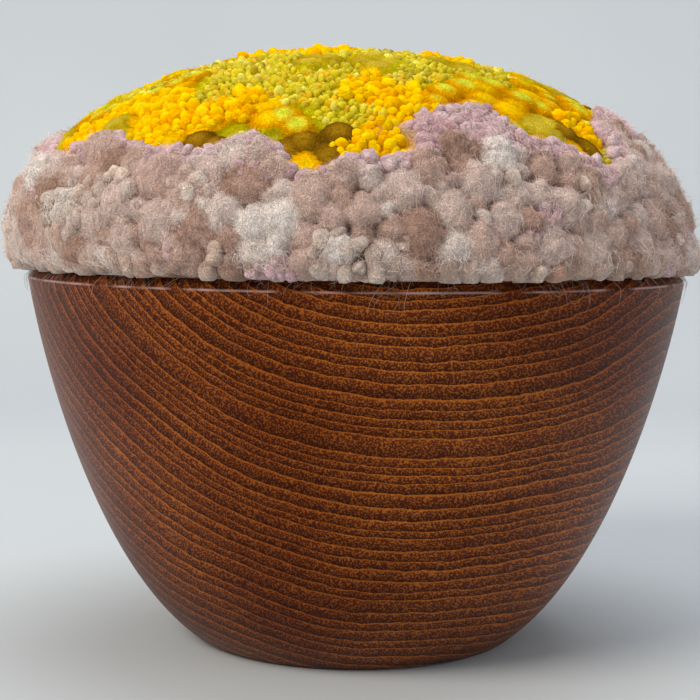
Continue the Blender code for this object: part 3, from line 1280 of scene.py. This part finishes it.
@dataclass
class Fuzz:
    """Fine fibres that curl over the fleece.

    A fibre's path is an arc of a circle on the base form, raised onto the fleece and lifted off
    it, more at its ends, and it lies flat where it reaches over the crown. A wool fibre is
    0.03 mm wide, too fine to show, so these are drawn four times as wide.
    """

    form: DomeForm
    zones: ZoneMap
    fleece: Fleece
    pieces: int = 3
    count: int = 11500
    steps: int = 4
    width: float = 0.12 * MM
    width_spread: Range = (0.6, 1.3)
    radius: Range = (0.8 * MM, 3.0 * MM)
    span: Range = (0.8, 2.4)
    lift: Range = (-0.1 * MM, 0.4 * MM)
    flare: float = 1.8 * MM
    knot_top: float = 5.2 * MM
    loop_top: float = 4.6 * MM
    rim_share: float = 0.94
    shade: Range = (0.85, 1.5)
    seed: int = 300
    # Shares of the section where the fibres start and end, and where they are cut off
    highest: float = 0.50
    lowest: float = 0.992
    clip: float = 0.994
    # Below one, this draws more of them low down
    crowding: float = 0.72
    lip_fade: float = 0.03
    # The depths in the crown between which a fibre lies down, and by how much
    flat_band: Range = (-0.016, 0.004)
    flatness: float = 0.75

    def build(self, finish: bpy.types.Material) -> None:
        """Makes the fibres in several pieces, each over the whole flank.

        Args:
            finish: the fibres' wool.
        """
        for number in range(self.pieces):
            shape = self.shape(np.random.default_rng(self.seed + number))
            attach(shape.to_object(f"flank_fibres_{number + 1}", finish), WOOL_SLOT)

    def tops(self, base: Array, share: Array) -> Array:
        """The level of the tufts that stand out of the fleece, which the fibres lie on.

        Args:
            base: points on the base form.
            share: their shares of the section.

        Returns:
            A height above the base form for each point.
        """
        kind = self.zones.stretch(base, share)
        top = np.where(kind == Tuft.MAUVE.value, self.loop_top, 0.0)
        knotted = (kind == Tuft.KNOT.value) | (share > self.rim_share)
        return np.where(knotted, self.knot_top, top) * ramp(share, 1.0, 1.0 - self.lip_fade)

    def shape(self, rng: np.random.Generator) -> Shape:
        """Draws fibres all over the flank.

        Args:
            rng: where the draws come from.

        Returns:
            The fibres as one mesh.
        """
        low = rng.uniform(0.0, 1.0, self.count * 2) ** self.crowding
        share = self.highest + (self.lowest - self.highest) * low
        azimuth = rng.uniform(0.0, FULL_TURN, len(share))
        middle, _ = self.form.at(share, azimuth)
        outside = self.zones.crown_depth(middle, share) < -self.zones.edge_gap
        kept = np.flatnonzero(outside)[: self.count]
        share, azimuth, middle = share[kept, None], azimuth[kept, None], middle[kept]
        rows, grid = (len(kept), 1), (len(kept), self.steps)
        t = np.linspace(0.0, 1.0, self.steps)
        radius = rng.uniform(*self.radius, rows)
        span = rng.uniform(*self.span, rows) * rng.choice((-1.0, 1.0), rows)
        turn = rng.uniform(0.0, FULL_TURN, rows) + span * t
        about = np.hypot(middle[:, :1], middle[:, 1:2])
        # About the length of the dome's section, which makes a distance a share of it
        length = self.form.area / (math.pi * self.form.radius) / 1.35
        down = radius * (np.sin(turn) - np.sin(turn[:, :1])) / length
        shares = np.clip(share + down, 0.0, self.clip).ravel()
        azimuths = azimuth + radius * (np.cos(turn) - np.cos(turn[:, :1])) / about
        base, normals = self.form.at(shares, azimuths.ravel())
        height, tint = self.fleece.surface(base, shares)
        height = np.maximum(height, self.tops(base, shares)).reshape(grid)
        bow = 2.0 * t - 1.0 + 0.6 * rng.uniform(-1.0, 1.0, rows)
        flare = self.flare * rng.uniform(0.0, 1.0, rows) ** 3.0 * np.abs(bow) ** 1.6
        over = ramp(self.zones.crown_depth(base, shares), *self.flat_band).reshape(grid)
        height = (height + flare) * (1.0 - self.flatness * over) + rng.uniform(*self.lift, rows)
        paths = base.reshape(*grid, 3) + normals.reshape(*grid, 3) * height[..., None]
        # The fibres take the fleece's colour, painted crease shade included
        tint = tint.reshape(*grid, 3).mean(axis=1) * rng.uniform(*self.shade, rows)
        return spindles(
            clear_of_rim(paths, 0.1 * MM, -1.5 * MM),
            self.width * rng.uniform(*self.width_spread, len(kept)),
            np.clip(tint + 0.02, 0.0, 1.0),
            normals.reshape(*grid, 3)[:, 1],
        )


@dataclass
class CushionGround:
    """The filled cushion itself: the velvet crown, the flank's fleece and the plug."""

    form: DomeForm
    zones: ZoneMap
    velvet: VelvetPads
    fleece: Fleece
    bowl: TurnedBowl
    crown_rings: int = 46
    flank_rings: int = 120
    flank_start: float = 0.50
    edge_blend: float = 0.01
    segments: int = 480
    seat_gap: float = 0.4 * MM
    rim_gap: float = 0.6 * MM
    lining: str = "#84695c"

    def build(self, finish: bpy.types.Material) -> bpy.types.Object:
        """The base form raised by the pads and the fleece, closed by the plug.

        Args:
            finish: the cut pile and the fleece.

        Returns:
            The cushion.
        """
        ring_share = np.concatenate([
            np.linspace(0.0, self.flank_start, self.crown_rings + 1)[1:],
            np.linspace(self.flank_start, 1.0, self.flank_rings + 1)[1:],
        ])
        around = np.arange(self.segments) * FULL_TURN / self.segments
        share, azimuth = (a.ravel() for a in np.meshgrid(ring_share, around, indexing="ij"))
        share, azimuth = np.append(share, 0.0), np.append(azimuth, 0.0)
        base, normals = self.form.at(share, azimuth)
        depth = self.zones.crown_depth(base, share)
        inside = ramp(depth, -self.edge_blend, self.edge_blend)[:, None]
        # The pads' and the fleece's colours carry their painted shade and painted light
        pads, pad_tint = self.velvet.surface(base)
        soft, soft_tint = self.fleece.surface(base, share)
        rise = soft[:, None] * (1.0 - inside) + pads[:, None] * inside
        dome = clear_of_rim(base + normals * rise)
        dome_tint = soft_tint + (pad_tint - soft_tint) * inside
        under = self.underside(around)
        end = (0.0, 0.0, under[-1, 0, 2])
        lining = palette(self.lining)
        rest = np.tile(lining, (under.size // 3, 1))
        shape = Shape(
            np.vstack([dome[:-1], under.reshape(-1, 3), dome[-1:], end]),
            *closed_tubes(len(ring_share) + len(under), self.segments),
            np.vstack([dome_tint[:-1], rest, dome_tint[-1:], lining]),
        )
        piece = shape.to_object("cushion_ground", finish)
        return attach(piece, WOOL_SLOT, CUSHION_NODE)

    def underside(self, around: Array) -> Array:
        """Rings over the rim and down the hollow, each clear of the wood.

        Args:
            around: the rings' angles.

        Returns:
            Points of shape (rings, segments, 3).
        """
        wall = self.bowl.hollow()[::-1]
        slope = np.gradient(wall, axis=0)
        slope /= np.linalg.norm(slope, axis=1)[:, None]
        plug = wall + np.stack([slope[:, 1], -slope[:, 0]], axis=1) * self.seat_gap
        plug[0] = (self.bowl.hollow_radius - self.seat_gap, RIM_HEIGHT + self.rim_gap)
        plug[-1] = (self.bowl.floor_radius, self.bowl.floor_height + self.seat_gap)
        plug = np.vstack([(RIM_TOP_RADIUS, RIM_HEIGHT + self.rim_gap), plug])
        return turned(plug[:, :1], around, plug[:, 1:])


@dataclass
class Crown:
    """The bright top of the cushion: small loops, larger loops and the pile's upright hairs.

    A hair is about 0.03 mm wide, too fine to show, so these are drawn three to four times as wide.
    """

    form: DomeForm
    zones: ZoneMap
    velvet: VelvetPads
    hair_pitch: float = 2.4 * MM
    hair_length: Range = (0.4 * MM, 0.9 * MM)
    hair_width: Range = (0.08 * MM, 0.14 * MM)
    hair_root: float = 0.2 * MM
    seed: int = 5
    # In chartreuse, lemon and gold, and pale #f0e45c beads as a painted highlight
    bead: TuftKind = TuftKind(
        3, 6, 2.15 * MM, (0.95 * MM, 1.5 * MM),
        ("#c6b404", "#d4c206", "#e2ce14", "#eab600", "#f0e45c", "#b09a04"),
        least=(1.0, 0.75, 1.1), greatest=(1.3, 1.0, 1.6), wobble=0.05, marbling=0.3,
        rise=0.3 * MM, rise_swing=0.5 * MM, lots=(0.24, 0.50, 0.72, 0.86, 0.95),
    )
    # In clear yellow and orange
    loop: TuftKind = TuftKind(
        4, 8, 2.8 * MM, (1.45 * MM, 2.2 * MM), ("#ffc000", "#ffcc00", "#ffd40c", "#f8b000"),
        least=(0.95, 0.85, 1.0), greatest=(1.3, 1.0, 1.4), wobble=0.08, grain=0.5, marbling=0.4,
        rise=0.6 * MM, rise_swing=0.4 * MM,
    )

    def build(
        self, silky: bpy.types.Material, matt: bpy.types.Material, fine: bpy.types.Material
    ) -> None:
        """Makes the crown's two kinds of loop and the hairs over it.

        Args:
            silky: the small loops' yarn.
            matt: the larger loops' yarn.
            fine: the single hairs' wool.
        """
        for number, (name, patch, kind, finish) in enumerate((
            ("crown_beads", Patch.BEADS, self.bead, silky),
            ("crown_loops", Patch.LOOPS, self.loop, matt),
        )):
            tufts = self.tufts(patch, kind, np.random.default_rng(self.seed + number))
            attach(tufts.shape().to_object(name, finish), WOOL_SLOT)
        attach(self.nap().to_object("crown_nap", fine), WOOL_SLOT)

    def tufts(self, patch: Patch, kind: TuftKind, rng: np.random.Generator) -> Tufts:
        """Fills the patches of one kind with evenly spread loops.

        Args:
            patch: the patches to fill.
            kind: the loops.
            rng: where the draws come from.

        Returns:
            The loops.
        """
        share, azimuth = self.form.sunflower(kind.pitch, rng.uniform(0.0, FULL_TURN))
        points, normals = self.form.at(share, azimuth)
        points = points + rng.normal(0.0, 0.13 * kind.pitch, points.shape)
        depth = self.zones.crown_depth(points, share)
        under = self.zones.patch(points + rng.normal(0.0, 0.3 * kind.pitch, points.shape))
        keep = (depth > 0.0) & (under == patch.value)
        points, normals = points[keep], normals[keep]
        count = len(points)
        size = rng.uniform(*kind.size, (count, 1))
        half = size * rng.uniform(kind.least, kind.greatest, (count, 3))
        choice = None
        if kind.lots:
            lot = rng.uniform(0.0, 1.0, count) + 0.2 * random_field(points, 30.0 * MM, self.seed)
            choice = np.digitize(lot, kind.lots)
        rise = kind.rise + rng.uniform(-kind.rise_swing, kind.rise_swing, (count, 1))
        return Tufts(kind, points + normals * rise, normals, half, rng, choice)

    def nap(self) -> Shape:
        """Short hairs that stand up from the pads and between the loops, each a bent line.

        Returns:
            The hairs as one mesh.
        """
        rng = np.random.default_rng(self.seed + 2)
        share, azimuth = self.form.sunflower(self.hair_pitch, 0.3)
        base, normals = self.form.at(share, azimuth)
        base = base + rng.normal(0.0, 0.5 * MM, base.shape)
        keep = self.zones.crown_depth(base, share) > 0.0
        base, normals = base[keep], normals[keep]
        rise, tint = self.velvet.surface(base)
        foot = base + normals * (rise[:, None] - self.hair_root)
        length = rng.uniform(*self.hair_length, (len(base), 1))
        lean = rng.normal(0.0, 0.8, base.shape) * length
        t = np.linspace(0.0, 1.0, 4)[None, :, None]
        paths = foot[:, None] + normals[:, None] * length[:, None] * t + lean[:, None] * t**2
        widths = rng.uniform(*self.hair_width, len(base))
        # The hairs take the pads' colour, painted shade and painted light included
        return spindles(paths, widths, np.clip(tint * 1.1, 0.0, 1.0), lean)


@dataclass
class Flank:
    """What stands out of the fleece: tufts along the rim, tight knots and mauve loops.

    The tufts of a kind are packed, large ones first, so that they only touch each other.
    """

    zones: ZoneMap
    fleece: Fleece
    top_spread: float = 0.4 * MM
    seed: int = 57
    # The colours of each kind run from dark to light
    rim: TuftKind = TuftKind(
        7, 13, 2.0 * MM, (2.4 * MM, 4.2 * MM),
        ("#ac8776", "#b99683", "#c6a694", "#d1b5a6", "#dbc3b7", "#e4d0c6"),
        wobble=0.18, grain=0.7, marbling=0.35, closeness=0.62, top=4.3 * MM, near=8.0 * MM,
    )
    knot: TuftKind = TuftKind(
        7, 12, 1.4 * MM, (2.0 * MM, 2.9 * MM), ("#d2b5a4", "#dcc2b2", "#e4cec0", "#ecdace"),
        lean=(0.0, 1.4), closeness=0.72, top=5.3 * MM, near=60.0 * MM,
    )
    mauve: TuftKind = TuftKind(
        4, 8, 1.1 * MM, (1.4 * MM, 2.6 * MM),
        ("#d6acb1", "#deb7bb", "#e5c0c3", "#eac9ca", "#eed1d1"),
        spread=0.06, closeness=0.54, top=4.3 * MM, near=200.0 * MM,
    )

    def build(self, roving: bpy.types.Material, knotted: bpy.types.Material) -> None:
        """Packs and makes the tufts of each kind.

        Args:
            roving: the rim tufts' wool.
            knotted: the tight knots' and loops' wool.
        """
        rng = np.random.default_rng(self.seed)
        for name, stretches, kind, finish in (
            ("rim_tufts", tuple(Tuft), self.rim, roving),
            ("cream_knots", (Tuft.KNOT,), self.knot, knotted),
            ("mauve_loops", (Tuft.MAUVE,), self.mauve, knotted),
        ):
            points, normals = self.zones.flank_spots(kind.pitch, stretches, rng)
            near = points[:, 2] < CORNER_HEIGHT + kind.near
            points, normals = points[near], normals[near]
            radii = np.sort(rng.uniform(*kind.size, len(points)))[::-1]
            chosen = pack(points, radii, kind.closeness, np.zeros((0, 3)), np.zeros(0))
            points, normals, radii = points[chosen], normals[chosen], radii[chosen, None]
            half = radii * rng.uniform(kind.least, kind.greatest, (len(radii), 3))
            tops = kind.top + rng.normal(0.0, self.top_spread, (len(radii), 1))
            centres = seat_on_rim(points + normals * (tops - half[:, 2:]), half[:, 1])
            choice = self.fleece.shades(points, len(kind.colours), rng)
            tufts = Tufts(kind, centres, normals, half, rng, choice)
            attach(tufts.shape().to_object(name, finish), WOOL_SLOT)


@dataclass
class RimWisps:
    """Stray fibres that hang from the cushion's edge over the chamfer and the top of the wall.

    A wisp's path falls along the rim's profile, a little off the wood, and curls on its way in
    ever wider turns, a circle's sine and cosine added to its azimuth and its height. A wool fibre
    is 0.03 mm wide, too fine to show, so these are drawn about three times as wide.
    """

    count: int = 320
    steps: int = 14
    width: float = 0.10 * MM
    width_spread: Range = (0.6, 1.2)
    start: float = 4.5 * MM
    drop: float = 5.5 * MM
    curl: Range = (1.2, 3.2)
    turns: float = 4.5
    wander: float = 2.5 * MM
    wall_slope: float = 0.10
    colours: tuple[str, ...] = ("#b8a598", "#a08c80", "#8c7468", "#c0aaa6")
    seed: int = 91

    def build(self, finish: bpy.types.Material) -> None:
        """Makes the wisps.

        Args:
            finish: the fibres' wool.
        """
        rng = np.random.default_rng(self.seed)
        t = np.linspace(0.0, 1.0, self.steps)
        shape = (self.count, 1)
        drop = self.drop * rng.uniform(0.0, 1.0, shape) ** 3.0
        curl = rng.uniform(*self.curl, shape) * (0.4 * MM + 0.3 * drop) * t
        turn = rng.uniform(0.0, FULL_TURN, shape) + rng.normal(0.0, self.turns, shape) * t
        fall = self.start * (1.0 - t) + 0.4 * MM - drop * t
        height = CORNER_HEIGHT + fall + curl * np.sin(turn)
        away = (0.35 + rng.uniform(0.0, 1.0, shape) * np.sin(math.pi * t) + 0.2 * t) * MM
        above = ramp(height, CORNER_HEIGHT, RIM_HEIGHT)
        below = np.clip(CORNER_HEIGHT - height, 0.0, None)
        reach = RIM_RADIUS - CHAMFER_WIDTH * above - self.wall_slope * below + away
        wander = rng.normal(0.0, self.wander, shape) * t + curl * np.cos(turn)
        azimuth = rng.uniform(0.0, FULL_TURN, shape) + wander / RIM_RADIUS
        paths = turned(reach, azimuth, height)
        outward = paths[:, 0] * (1.0, 1.0, 0.0)
        outward /= np.linalg.norm(outward, axis=1)[:, None]
        tints = palette(*self.colours)[rng.integers(0, len(self.colours), self.count)]
        widths = self.width * rng.uniform(*self.width_spread, self.count)
        wisps = spindles(paths, widths, tints, outward)
        attach(wisps.to_object("rim_wisps", finish), WOOL_SLOT)


@dataclass
class Studio:
    """A pale floor that curves up into a backdrop, soft light and the photograph's camera."""

    distance: float = 535.3 * MM
    eye_above_corner: float = 22.35 * MM
    aside: float = -1.66 * MM
    pitch: float = math.radians(-4.889)
    roll: float = math.radians(0.507)
    focal_pixels: float = 1691.3
    picture_pixels: float = 700.0
    sensor: float = 36.0
    floor_front: float = -1.6
    floor_seam: float = 0.3
    back_distance: float = 1.1
    curve_radius: float = 0.5
    wall_height: float = 1.7
    half_width: float = 2.2
    air: str = "#e8eef2"
    air_strength: float = 0.44
    # Name, place, size, power and colour
    lamps: tuple[tuple[str, tuple[float, float, float], float, float, str], ...] = (
        ("key", (-0.95, -0.88, 1.02), 0.9, 18.6, "#fff8ee"),
        ("top", (0.1, 0.2, 1.5), 1.3, 12.5, "#fafcff"),
        ("fill", (1.2, -0.6, 0.6), 0.8, 2.9, "#f6f9ff"),
    )

    def build(self) -> None:
        """Makes the backdrop, the lights, the world and the camera."""
        bpy.context.scene.view_settings.view_transform = "Standard"
        self.backdrop()
        self.lights()
        self.camera()

    def backdrop(self) -> None:
        """One sheet: a level floor, a quarter circle and a wall, carried along X."""
        bend = np.linspace(0.0, math.pi / 2, 17)
        depth = self.back_distance - self.curve_radius * (1.0 - np.sin(bend))
        curve = np.stack([depth, self.curve_radius * (1.0 - np.cos(bend))], axis=1)
        floor = [(self.floor_front, 0.0), (self.floor_seam, 0.0)]
        path = np.repeat(np.vstack([floor, curve, (self.back_distance, self.wall_height)]), 2, axis=0)
        side = np.tile([-self.half_width, self.half_width], len(path) // 2)
        row = np.arange(0, len(path) - 2, 2)
        quads = np.stack([row, row + 1, row + 3, row + 2], axis=1)
        points = np.column_stack([side, path])
        Shape(points, quads).to_object("studio_backdrop", Plaster().build())

    def lights(self) -> None:
        """A broad window-like key from the upper left, a wide top light and a low right fill."""
        world = bpy.data.worlds.new("studio_air")
        world.use_nodes = True
        background = world.node_tree.nodes["Background"]
        background.inputs["Color"].default_value = linear(self.air)
        background.inputs["Strength"].default_value = self.air_strength
        bpy.context.scene.world = world
        for name, place, size, power, colour in self.lamps:
            lamp = bpy.data.lights.new(name, "AREA")
            lamp.shape = "DISK"
            lamp.size = size
            lamp.energy = power
            lamp.color = linear(colour)[:3]
            item = bpy.data.objects.new(name, lamp)
            item.location = place
            aim = np.array((0.0, 0.0, RIM_HEIGHT)) - np.array(place)
            pitch = math.atan2(math.hypot(aim[0], aim[1]), -aim[2])
            item.rotation_euler = (pitch, 0.0, math.atan2(-aim[0], aim[1]))
            bpy.context.scene.collection.objects.link(item)

    def camera(self) -> None:
        """Stands where the photograph was taken from, by the fit to the rim, wall and foot."""
        data = bpy.data.cameras.new("photo_camera")
        data.lens = self.focal_pixels / self.picture_pixels * self.sensor
        data.sensor_width = self.sensor
        data.clip_start = 0.01
        item = bpy.data.objects.new("photo_camera", data)
        item.location = (self.aside, -self.distance, CORNER_HEIGHT + self.eye_above_corner)
        item.rotation_euler = (math.pi / 2 + self.pitch, 0.0, 0.0)
        item.rotation_euler.rotate_axis("Z", self.roll)
        bpy.context.scene.collection.objects.link(item)
        bpy.context.scene.camera = item


def main() -> None:
    """Builds the studio, the bowl and the cushion, and reports each piece."""
    logging.basicConfig(level=logging.INFO, format="%(message)s")
    Studio().build()

    form = DomeForm()
    zones = ZoneMap(form)
    pads = VelvetPads(form, zones)
    fleece = Fleece(form, CoarsePuffs(form), zones)
    bowl = TurnedBowl()
    bowl.build(Teak().build())

    soft = Wool("cut_pile_and_fleece", 1.5 * MM, contrast=0.30, bump=0.35 * MM, specular=0.0)
    CushionGround(form, zones, pads, fleece, bowl).build(soft.build())

    silky = Wool(
        "silky_loop_yarn", 1.6 * MM, contrast=0.15, bump=0.15 * MM,
        roughness=0.5, specular=0.16, translucence=0.3,
    )
    matt = Wool(
        "matt_loop_yarn", 1.6 * MM, contrast=0.2, bump=0.2 * MM, specular=0.0, translucence=0.2
    )
    hair = Wool("single_dyed_hair", 3.0 * MM, contrast=0.1, bump=0.05 * MM, specular=0.0)
    Crown(form, zones, pads).build(silky.build(), matt.build(), hair.build())

    roving = Wool(
        "wool_roving", 1.6 * MM, contrast=0.36, bump=0.45 * MM, sheen=0.4, translucence=0.2
    )
    knotted = Wool(
        "knotted_wool", 1.3 * MM, contrast=0.4, bump=0.55 * MM, sheen=0.4, translucence=0.2
    )
    Flank(zones, fleece).build(roving.build(), knotted.build())

    fibre = Wool("single_wool_fibre", 3.0 * MM, contrast=0.1, bump=0.05 * MM, sheen=0.4).build()
    Fuzz(form, zones, fleece).build(fibre)
    RimWisps().build(fibre)


if __name__ == "__main__":
    main()
